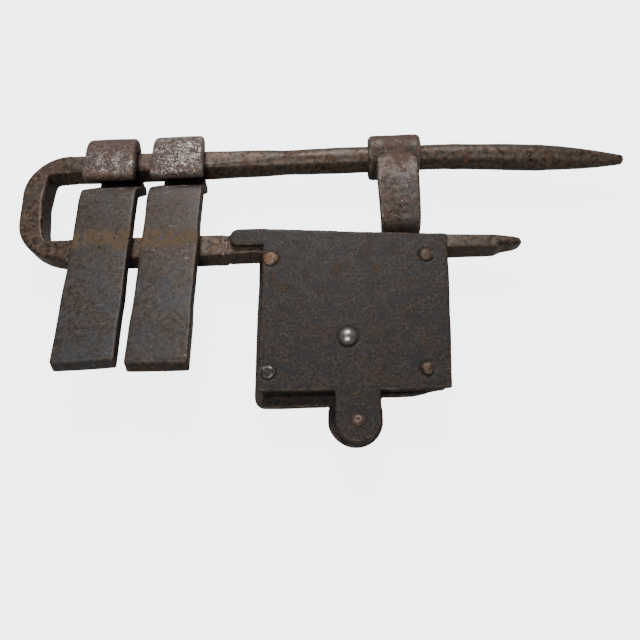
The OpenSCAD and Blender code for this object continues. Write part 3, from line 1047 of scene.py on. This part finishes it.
@dataclass
class Staple:
    """A door staple: a strip rolled round the bar, its leg in front of the lower arm."""

    name: str
    widths: tuple[float, ...]
    centres: tuple[float, ...]
    seed: int
    slant: float = 0.0
    overhang: float = 0.0
    inner: float = 7.21
    thick: float = 5.5
    rise: float = 2.5
    lip: float = 14.0
    length: float = 114.5
    bevel: float = 3.4
    runs: tuple[float, ...] = (0, 12, 22, 30, 42, 52, 62, 76, 171)
    hammering: Hammering = Hammering(depth=0.12, pitch=13.0, skin=0.02, skin_pitch=1.6)

    def path(self) -> Array:
        """Middle line in Y and Z: lip, half circle, back run, bend and leg."""
        mid = self.inner + self.thick / 2
        turn = np.radians(np.linspace(90, -90, 25))
        loop = np.stack(
            [ARM_Y + self.rise + mid * np.cos(turn), MID_Z + mid * np.sin(turn)], axis=1)
        turn_y = ARM_Y - mid + 3.6
        bend_y = turn_y - (2 * mid - 3.6) * 0.86
        leg_z = MID_Z + HALF_BAR + 0.3 + self.thick / 2
        chain = np.vstack([
            [[ARM_Y - self.lip, MID_Z + mid]], loop,
            [[turn_y, MID_Z - mid], [bend_y, leg_z - 1.4], [bend_y - 6, leg_z - 0.5],
             [ARM_LOW_Y + HALF_BAR, leg_z], [ARM_Y - self.length - self.overhang, leg_z + 2.9]]])
        return flow(chain, 0.85, 0.9)

    def build(self, material: Any) -> None:
        """Carries a rounded strip along the middle line, its width changing."""
        path = self.path()
        run = lengths(path)
        width = np.interp(run, self.runs, self.widths)
        centre = np.interp(run, self.runs, self.centres)
        inset = end_inset(run, 1.3)
        thick = np.interp(run, [0, 10, 40, 70, 172], [5.1, 5.5, 5.3, 5.2, 5.3])
        along = np.stack([run, run * 0, run * 0], axis=1)
        width += 0.5 * noise(along, 14.0, self.seed)
        radius = np.interp(run, [0, 20, 50, 80, 172], [1.7, 1.9, 1.6, 0.9, 0.8])
        shape = section(width / 2 - inset, thick / 2 - inset, radius, 32, 5, 4)
        # the strip is a little hollow across the leg, and full across the loop
        across = shape[:, :, 0] / (width / 2)[:, None]
        shape[:, :, 1] *= 1 - 0.05 * np.abs(across) ** 3
        rings = strip_rings(path, centre, shape)
        # the cut end slopes back: its front edge stops short of its back edge
        near = np.clip(1 - (run[-1] - run) / 12.0, 0, 1)[:, None]
        front = np.clip(0.5 + (rings[:, :, 2] - path[:, 1][:, None]) / self.thick, 0, 1)
        rings[:, :, 1] += self.bevel * near * front
        rings[:, :, 1] += self.slant * near * across
        strip = tube(self.name + "_strip", rings)
        self.hammering.strike(strip, self.seed)
        finish_piece(strip, self.name, (self.name,), material)


@dataclass
class EyeBracket:
    """The eye that guides the round arm, and its lapped strap."""

    bore: float = 6.62
    outer: float = 10.9
    strap_left: float = 17.2
    strap_width: float = 18.0
    strap_thick: float = 4.4
    foot_y: float = 54.38
    voxel: float = 0.5
    hammering: Hammering = Hammering(depth=0.12, pitch=8.0, skin=0.02)

    def eye(self) -> Object:
        """A ring: a rounded section in X and radius, carried round the arm.

        Its outside is a little square, radius / (cos^p + sin^p)^(1/p), and thinner below.
        """
        half_w = (EYE_RIGHT - EYE_LEFT) / 2
        half_t = (self.outer - self.bore) / 2
        one = section(np.array([half_w]), np.array([half_t]), np.array([2.15]), 26, 6, 6)[0]
        angle = np.linspace(0, 2 * math.pi, 96, endpoint=False)
        power = 2.2
        square = (np.abs(np.cos(angle)) ** power + np.abs(np.sin(angle)) ** power) ** (-1 / power)
        share = (one[:, 1] + half_t) / (2 * half_t)
        lower = 1 - 0.13 * (0.5 - 0.5 * np.cos(angle)) ** 2
        edge = self.outer * np.minimum(square, 1.05) * lower
        radius = self.bore + share[None, :] * (edge[:, None] - self.bore)
        x = (EYE_LEFT + EYE_RIGHT) / 2 + np.broadcast_to(one[None, :, 0], radius.shape)
        y = ARM_Y + radius * np.cos(angle)[:, None]
        z = MID_Z + radius * np.sin(angle)[:, None]
        return ring_solid("eye", np.stack([x, y, z], axis=2))

    def strap(self) -> Object:
        """The strap: a strip from its round lapped end down and back to its foot."""
        half = self.strap_thick / 2
        front = MID_Z + 11.7 - half + 0.8
        foot = self.foot_y + half
        chain = np.array([
            [ARM_Y - 4.6, front - 1.9], [ARM_Y - 8.5, front - 0.5], [ARM_Y - 20, front - 0.4],
            [ARM_Y - 33, MID_Z + HALF_BAR + 0.6 + half], [foot + 5, MID_Z + HALF_BAR - 0.6 + half],
            [foot + 1.4, MID_Z + HALF_BAR - 1.4], [foot, MID_Z + HALF_BAR - 5], [foot, 1.2]])
        path = flow(chain, 0.7, 1.0)
        run = lengths(path)
        width = np.interp(run, [0, 6, 14, 30, 42, 60], [19.0, 20.0, 20.3, 19.4, 18.6, 17.4])
        centre = np.interp(run, [0, 40, 60], [25.4, 26.3, 26.4])
        cap = np.clip(run / 7.0, 0, 1)
        width = width * np.sqrt(np.clip(1 - (1 - cap) ** 2.4, 0.03, 1))
        inset = end_inset(run, 1.0)
        shape = section(width / 2 - inset, np.full(len(run), half) - inset,
                        np.full(len(run), 1.0), 18, 4, 4)
        return tube("strap", strip_rings(path, centre, shape))

    def tenon(self, x: float) -> Object:
        """A round tenon through the back plate, spread a little at its end."""
        profile = np.array([[0.02, -0.1], [1.9, -0.1], [2.1, 0.05],
                            [1.7, 0.5], [1.6, 4.0], [0.02, 4.0]])
        return revolved("tenon", profile, x, self.foot_y + self.strap_thick / 2, 24)

    def build(self, material: Any) -> None:
        """Welds the eye, the strap and the tenons into one skin."""
        middle = self.strap_left + self.strap_width / 2
        parts = [self.eye(), self.strap(), self.tenon(middle - 4.5), self.tenon(middle + 4.5)]
        whole = joined("bracket_forging", parts)
        remeshed(whole, self.voxel, 7)
        self.hammering.strike(whole, 23)
        finish_piece(whole, "lock_case", ("eye_bracket",), material)


def revolved(name: str, profile: Array, x: float, y: float, turns: int = 48) -> Object:
    """Turns a profile of (radius, height) about an upright axis at x, y."""
    angle = np.linspace(0, 2 * math.pi, turns, endpoint=False)
    r, z = profile[:, :1], profile[:, 1:]
    rings = np.stack([x + r * np.cos(angle), y + r * np.sin(angle), z + 0 * angle], axis=2)
    return tube(name, rings)


@dataclass(frozen=True)
class Head:
    """A rivet's place, sizes and how roughly its head was struck."""

    node: str
    x: float
    y: float
    radius: float
    height: float
    shank: float
    flat: float
    rough: float
    seed: int
    base: float = CASE_T
    dimple: float = 0.0
    slot: str = "rivet_iron"


@dataclass
class Rivets:
    """The case's rivets, each a shank with a struck head and a flush tail."""

    heads: tuple[Head, ...]

    @staticmethod
    def profile(head: Head) -> Array:
        """Tail, shank, and a head whose height is h (1 - s^p)^(1/p).

        s is the share of the head's radius; p is larger for a flatter head.
        """
        s = np.sin(np.linspace(math.pi / 2, 0, 22))
        power = 2 + head.flat
        dome = head.height * (1 - s**power) ** (1 / power)
        dome -= head.dimple * np.exp(-((s / 0.3) ** 2))
        cap = np.stack([np.maximum(s * head.radius, 0.02), head.base + dome], axis=1)
        tail = head.shank + 0.35
        shank = np.array([[0.02, -0.08], [tail * 0.6, -0.08], [tail, -0.03], [tail, 0.05],
                          [head.shank, 0.4], [head.shank, head.base - 0.35],
                          [head.radius, head.base - 0.3]])
        return np.vstack([shank, cap])

    def build(self, materials: dict[str, Any]) -> None:
        """Turns each profile, then knocks its head out of round."""
        for head in self.heads:
            rivet = revolved(head.node + "_struck", self.profile(head), head.x, head.y)
            points = coordinates(rivet)
            top = smoothstep(head.base - 0.4, head.base + 0.3, points[:, 2])
            local = points - [head.x, head.y, 0]
            knock = fractal(local, head.radius * 0.9, 2, head.seed) * head.rough
            points[:, :2] += local[:, :2] * (knock * top)[:, None]
            lift = noise(local, head.radius * 0.6, head.seed + 3) * head.rough * 1.6
            points[:, 2] += np.minimum(lift, 0.1) * top * (points[:, 2] > head.base)
            set_coordinates(rivet, points)
            finish_piece(rivet, "lock_case", (head.node,), materials[head.node])


RIVETS = Rivets((
    Head("rivet_upper_left", -35.1, 39.8, 3.4, 1.7, 1.6, 0.4, 0.07, 3),
    Head("rivet_upper_right", 36.6, 39.8, 3.2, 1.6, 1.6, 0.3, 0.06, 7),
    Head("rivet_lower_left", -35.1, -15.6, 3.2, 1.2, 1.6, 1.0, 0.09, 12),
    Head("rivet_lower_right", 33.5, -15.6, 2.85, 1.65, 1.6, 0.5, 0.08, 17),
    Head("pivot_post", 0.0, 0.0, 4.3, 2.9, 2.5, 0.0, 0.015, 22, slot="worn_steel"),
    Head("drill_pin", 3.5, -37.1, 2.1, 0.85, 1.8, 0.6, 0.05, 27, dimple=0.5),
    Head("spring_post", 30.0, -3.0, 1.9, 0.25, 1.9, 2.0, 0.01, 31, base=13.5, slot="inner_iron"),
    Head("stop_post", 6.5, 40.1, 1.8, 0.25, 1.8, 2.0, 0.01, 35, base=13.5, slot="inner_iron"),
))


@dataclass
class Plates:
    """The case's plates and walls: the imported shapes, dented and worn."""

    voxel: float = 0.48
    wall_voxel: float = 0.42
    front: Hammering = Hammering(
        depth=0.10, pitch=11.0, skin=0.035, skin_pitch=1.5, swell=0.12, sway=0.16)
    back: Hammering = Hammering(
        depth=0.12, pitch=10.0, skin=0.03, skin_pitch=1.5, swell=0.08, sway=0.25)
    wall: Hammering = Hammering(depth=0.08, pitch=7.0, skin=0.03)

    @staticmethod
    def trim_front(p: Array) -> Array:
        """Shifts the edges a little, and sinks a ring round each rivet's head.

        A ring's depth is 0.35 exp(-(d / 0.7)^2), d being the distance from the rim.
        """
        x, y = p[:, 0].copy(), p[:, 1].copy()
        p[:, 1] += 0.7 * smoothstep(51.5, 55.5, y) * (1 - smoothstep(-10, 14, x))
        p[:, 1] -= 0.5 * smoothstep(13.5, 18, x) * (1 - smoothstep(-23.5, -19, y))
        p[:, 0] += 0.5 * smoothstep(38, 42, x) * (1 - smoothstep(30, 45, y))
        for head in RIVETS.heads:
            if head.base == CASE_T:
                gap = np.hypot(x - head.x, y - head.y) - head.radius
                p[:, 2] -= 0.35 * np.exp(-((gap / 0.7) ** 2)) * (p[:, 2] > CASE_T - 0.8)
        return p

    @staticmethod
    def trim_back(p: Array) -> Array:
        """Lowers the lip to the left, lifts the lower right corner, widens the tongue."""
        x, y = p[:, 0].copy(), p[:, 1].copy()
        p[:, 1] -= 1.1 * (1 - smoothstep(-26, -21, y)) * (1 - smoothstep(-12, -6, x))
        p[:, 1] += 2.2 * smoothstep(26, 42, x) * (1 - smoothstep(-21, -14, y))
        away = np.stack([x - 2.5, y + 33.8], axis=1)
        gap = np.maximum(np.linalg.norm(away, axis=1), 0.1)
        push = 0.45 * smoothstep(8, 11, gap) * (1 - smoothstep(-30, -27, y))
        p[:, :2] += away / gap[:, None] * push[:, None]
        return p

    def build(self, nodes: dict[str, Object], plate: Any, wall: Any) -> None:
        """Makes one dented copy of each plate and wall.

        Args:
            nodes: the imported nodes.
            plate: material of the plates.
            wall: material of the walls.
        """
        plates = (self.voxel, plate, "plate_iron")
        walls = (self.wall_voxel, wall, "wall_iron")
        jobs = (("front_plate", plates, self.front, 41, self.trim_front),
                ("back_plate", plates, self.back, 47, self.trim_back),
                ("left_wall", walls, self.wall, 53, None),
                ("tongue_wall", walls, self.wall, 59, None),
                ("right_wall", walls, self.wall, 61, None))
        for node, (voxel, material, slot), hammering, seed, trim in jobs:
            sheet = merged_copy(nodes[node], node + "_sheet")
            remeshed(sheet, voxel, 2)
            hammering.strike(sheet, seed)
            if trim:
                set_coordinates(sheet, trim(coordinates(sheet)))
            finish_piece(sheet, "lock_case", (node,), material)


# ---------------------------------------------------------------- finishes

BROWN_RUST = Rust((0.022, 0.010, 0.005), (0.095, 0.044, 0.019), 0.46, 210.0)
ORANGE_RUST = Rust((0.065, 0.025, 0.009), (0.21, 0.088, 0.030), 0.34, 340.0)
EYE_RUST = Rust((0.028, 0.013, 0.007), (0.085, 0.045, 0.028), 0.8, 260.0,
                (Band(Axis.Y, 89.0, 130.0, 2.0),))
THIN_RUST = Rust((0.020, 0.012, 0.008), (0.066, 0.042, 0.028), 0.16, 150.0)
CAP = (Band(Axis.Y, 82.0, 130.0, 2.0), Band(Axis.Z, 13.0, 30.0, 2.0))
CAP_SKIN = Rust((0.026, 0.015, 0.012), (0.115, 0.072, 0.058), 2.0, 130.0, CAP)
LEG_RUST = Rust((0.034, 0.020, 0.010), (0.115, 0.073, 0.034), 0.85, 260.0,
                (Band(Axis.Y, 46.5, 57.0, 1.5),))
STAPLE_COOL = (1.0, 1.12, 1.22)

BOLT = Iron(
    "bolt_iron_look", (0.014, 0.009, 0.006), (0.092, 0.064, 0.046), (0.056, 0.047, 0.042),
    cast_amount=0.45, mottle=420.0, grain=1900.0, spread=0.11,
    rusts=(BROWN_RUST, ORANGE_RUST),
    bright=(0.30, 0.25, 0.20), pits=0.2, edge=(0.24, 0.19, 0.145), wear=0.85,
    scratch=0.5, rough=0.42, metal=0.45, bump=0.5)
LEFT_STAPLE = Iron(
    "left_staple_look", (0.019, 0.0130, 0.0098), (0.066, 0.050, 0.041), (0.040, 0.039, 0.041),
    cast_amount=0.5, mottle=520.0, grain=1900.0, spread=0.17,
    rusts=(THIN_RUST, LEG_RUST, CAP_SKIN),
    bright=(0.30, 0.275, 0.26), pits=0.64,
    pits_where=(Band(Axis.Y, 83.0, 101.0, 5.0), Band(Axis.Z, 13.0, 30.0, 1.0)),
    edge=(0.15, 0.085, 0.040),
    cool=STAPLE_COOL, cool_where=(Band(Axis.Y, -30.0, 38.0, 8.0),), wear=0.55, scratch=0.6,
    rough=0.46, metal=0.45, bump=0.45)
RIGHT_STAPLE = replace(
    LEFT_STAPLE, name="right_staple_look", dark=(0.018, 0.0125, 0.0093),
    light=(0.062, 0.046, 0.037), cast=(0.036, 0.034, 0.035),
    bright=(0.31, 0.285, 0.27), pits=0.72, pits_where=CAP,
    cool_where=(Band(Axis.Y, -6.0, 30.0, 8.0),))
PLATE = Iron(
    "plate_iron_look", (0.0050, 0.0034, 0.0029), (0.033, 0.0245, 0.0210), (0.0095, 0.0092, 0.0102),
    cast_amount=0.6, mottle=800.0, grain=2400.0, spread=0.085,
    rusts=(Rust((0.012, 0.0065, 0.004), (0.055, 0.032, 0.018), 0.48, 130.0),
           Rust((0.030, 0.017, 0.008), (0.085, 0.052, 0.026), 0.22, 420.0)),
    bright=(0.13, 0.11, 0.095), pits=0.30, pits_scale=1900.0, edge=(0.085, 0.055, 0.034),
    wear=0.6, scratch=0.15, rough=0.5, metal=0.35, bump=0.6)
BRACKET = Iron(
    "bracket_iron_look", (0.012, 0.008, 0.006), (0.074, 0.052, 0.041), (0.052, 0.049, 0.050),
    cast_amount=0.4, mottle=420.0, grain=1900.0, rusts=(BROWN_RUST, EYE_RUST),
    bright=(0.36, 0.33, 0.31), pits=0.30, wear=0.5, scratch=0.3, rough=0.42, metal=0.5, bump=0.5)
WALL = Iron(
    "wall_iron_look", (0.006, 0.005, 0.004), (0.022, 0.018, 0.015), (0.010, 0.010, 0.010),
    rusts=(BROWN_RUST,), wear=0.3, scratch=0.0, rough=0.6, metal=0.3)
RUSTY_HEAD = Iron(
    "rusty_head_look", (0.035, 0.017, 0.009), (0.13, 0.070, 0.036), (0.05, 0.042, 0.036),
    mottle=500.0, rusts=(Rust((0.050, 0.022, 0.009), (0.20, 0.098, 0.045), 0.8, 500.0),),
    bright=(0.5, 0.46, 0.43), pits=0.25, wear=0.6, scratch=0.1, rough=0.42, metal=0.4)
BROWN_HEAD = Iron(
    "brown_head_look", (0.016, 0.009, 0.006), (0.066, 0.037, 0.023), (0.030, 0.022, 0.017),
    mottle=500.0, rusts=(Rust((0.024, 0.012, 0.007), (0.105, 0.055, 0.030), 0.6, 500.0),),
    bright=(0.26, 0.21, 0.17), pits=0.2, wear=0.3, scratch=0.1, rough=0.42, metal=0.4)
DARK_HEAD = Iron(
    "dark_head_look", (0.008, 0.006, 0.0055), (0.034, 0.027, 0.024), (0.02, 0.02, 0.021),
    mottle=500.0, bright=(0.5, 0.44, 0.42), pits=0.3, wear=0.9, scratch=0.1, rough=0.36, metal=0.5)
WORN_HEAD = Iron(
    "worn_steel_look", (0.10, 0.088, 0.078), (0.27, 0.25, 0.23), (0.16, 0.15, 0.145),
    mottle=380.0, rusts=(Rust((0.04, 0.024, 0.014), (0.11, 0.075, 0.045), 0.15, 500.0),),
    bright=(0.6, 0.58, 0.56), pits=0.4, wear=0.6, scratch=0.5, rough=0.3, metal=0.85, bump=0.2)
INNER = Iron(
    "inner_iron_look", (0.013, 0.010, 0.009), (0.06, 0.05, 0.043), (0.03, 0.03, 0.032),
    rusts=(BROWN_RUST,), wear=0.3, scratch=0.3, rough=0.42, metal=0.55)
SPRING = Iron(
    "spring_steel_look", (0.012, 0.014, 0.022), (0.05, 0.056, 0.075), (0.03, 0.035, 0.055),
    wear=0.3, scratch=0.4, rough=0.3, metal=0.85)


# ---------------------------------------------------------------- studio


@dataclass
class Studio:
    """A pale floor, soft light and the camera."""

    floor_z: float = -4.9
    camera_at: Colour = (-0.6, -95.8, 248.7)
    tilt: Colour = (20.1, 2.71, -1.23)
    lens: float = 32.3
    rise: float = 0.063

    def floor(self) -> None:
        """A wide flat square under the latch."""
        side = 4000.0
        corners = np.array([[-side, -side], [side, -side], [side, side], [-side, side]])
        points = np.column_stack([corners, np.full(4, self.floor_z)])
        mesh = bpy.data.meshes.new("floor")
        mesh.from_pydata((points * MM).tolist(), [], [[0, 1, 2, 3]])
        obj = linked("floor", mesh)
        material = bpy.data.materials.new("pale_floor")
        material.use_nodes = True
        shader = material.node_tree.nodes["Principled BSDF"]
        shader.inputs["Base Color"].default_value = (0.35, 0.35, 0.35, 1)
        shader.inputs["Roughness"].default_value = 0.9
        shader.inputs["Specular IOR Level"].default_value = 0.1
        shader.inputs["Emission Color"].default_value = (1.0, 1.0, 1.0, 1.0)
        g = Graph(material.node_tree)
        seen = g.add("ShaderNodeLightPath").outputs["Is Camera Ray"]
        g.feed(shader.inputs["Emission Strength"], g.product(seen, 4.0))
        mesh.materials.append(material)

    @staticmethod
    def lamp(name: str, place: Colour, aim: Colour, size: float, power: float) -> None:
        """A square soft light at place that looks at aim."""
        light = bpy.data.lights.new(name, "AREA")
        light.size = size
        light.energy = power
        obj = linked(name, light)
        obj.location = place
        look = Vector(aim) - Vector(place)
        obj.rotation_euler = look.to_track_quat("-Z", "Y").to_euler()

    def light(self) -> None:
        """A soft key beyond the upper arm, a weaker light in front and a white surround."""
        self.lamp("key", (-0.05, 0.95, 0.95), (-0.01, 0.05, 0.0), 0.5, 20.0)
        self.lamp("front", (-0.1, -0.35, 1.0), (0.0, 0.03, 0.0), 0.5, 8.0)
        world = bpy.data.worlds.new("surround")
        world.use_nodes = True
        background = world.node_tree.nodes["Background"]
        background.inputs["Color"].default_value = (1.0, 1.0, 1.0, 1.0)
        background.inputs["Strength"].default_value = 0.3
        bpy.context.scene.world = world

    def camera(self) -> None:
        """Puts the camera in front of the case and a little below it."""
        lens = bpy.data.cameras.new("camera")
        lens.sensor_width = 36.0
        lens.lens = self.lens
        lens.shift_y = self.rise
        lens.clip_start = 0.01
        obj = linked("camera", lens)
        turn = Matrix.Identity(4)
        for angle, axis in zip(self.tilt, "XYZ"):
            turn = turn @ Matrix.Rotation(math.radians(angle), 4, axis)
        obj.matrix_world = Matrix.Translation(Vector(self.camera_at) * MM) @ turn
        bpy.context.scene.camera = obj

    def build(self) -> None:
        """Sets up the whole studio."""
        self.floor()
        self.light()
        self.camera()


def main() -> None:
    """Loads the frame, builds every piece and dresses what stays as packed."""
    logging.basicConfig(level=logging.INFO, format="%(name)s: %(message)s")
    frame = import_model()
    nodes = frame["nodes"]
    Studio().build()
    looks = Looks()
    BoltBar().build(looks.iron(BOLT))
    left = Staple(
        "left_staple", (26.5, 26.3, 25.4, 23.5, 20.4, 22.6, 26.8, 27.6, 28.6),
        (-116.85, -116.85, -117.2, -118.1, -119.5, -118.5, -116.6, -116.3, -115.2),
        71, slant=0.7)
    right = Staple(
        "right_staple", (26.1, 26.0, 25.2, 23.4, 20.2, 22.0, 25.2, 26.7, 27.6),
        (-82.75, -82.75, -83.1, -84.0, -85.4, -84.6, -83.4, -82.85, -82.6),
        83, overhang=1.4)
    left.build(looks.iron(LEFT_STAPLE))
    right.build(looks.iron(RIGHT_STAPLE))
    EyeBracket().build(looks.iron(BRACKET))
    plate, wall, inner = looks.iron(PLATE), looks.iron(WALL), looks.iron(INNER)
    Plates().build(nodes, plate, wall)
    brown = looks.iron(BROWN_HEAD)
    RIVETS.build({
        "rivet_upper_left": looks.iron(RUSTY_HEAD), "rivet_upper_right": brown,
        "rivet_lower_left": looks.iron(DARK_HEAD), "rivet_lower_right": brown,
        "pivot_post": looks.iron(WORN_HEAD), "drill_pin": brown,
        "spring_post": inner, "stop_post": inner})
    kept = {"stop_stud": inner, "pivot_collar_front": inner, "pivot_collar_back": inner,
            "catch_lever": inner, "leaf_spring": looks.iron(SPRING), "pin_collar": brown}
    for name, material in kept.items():
        nodes[name].data.materials.clear()
        nodes[name].data.materials.append(material)
        LOG.info("%s: kept as packed", name)


if __name__ == "__main__":
    main()
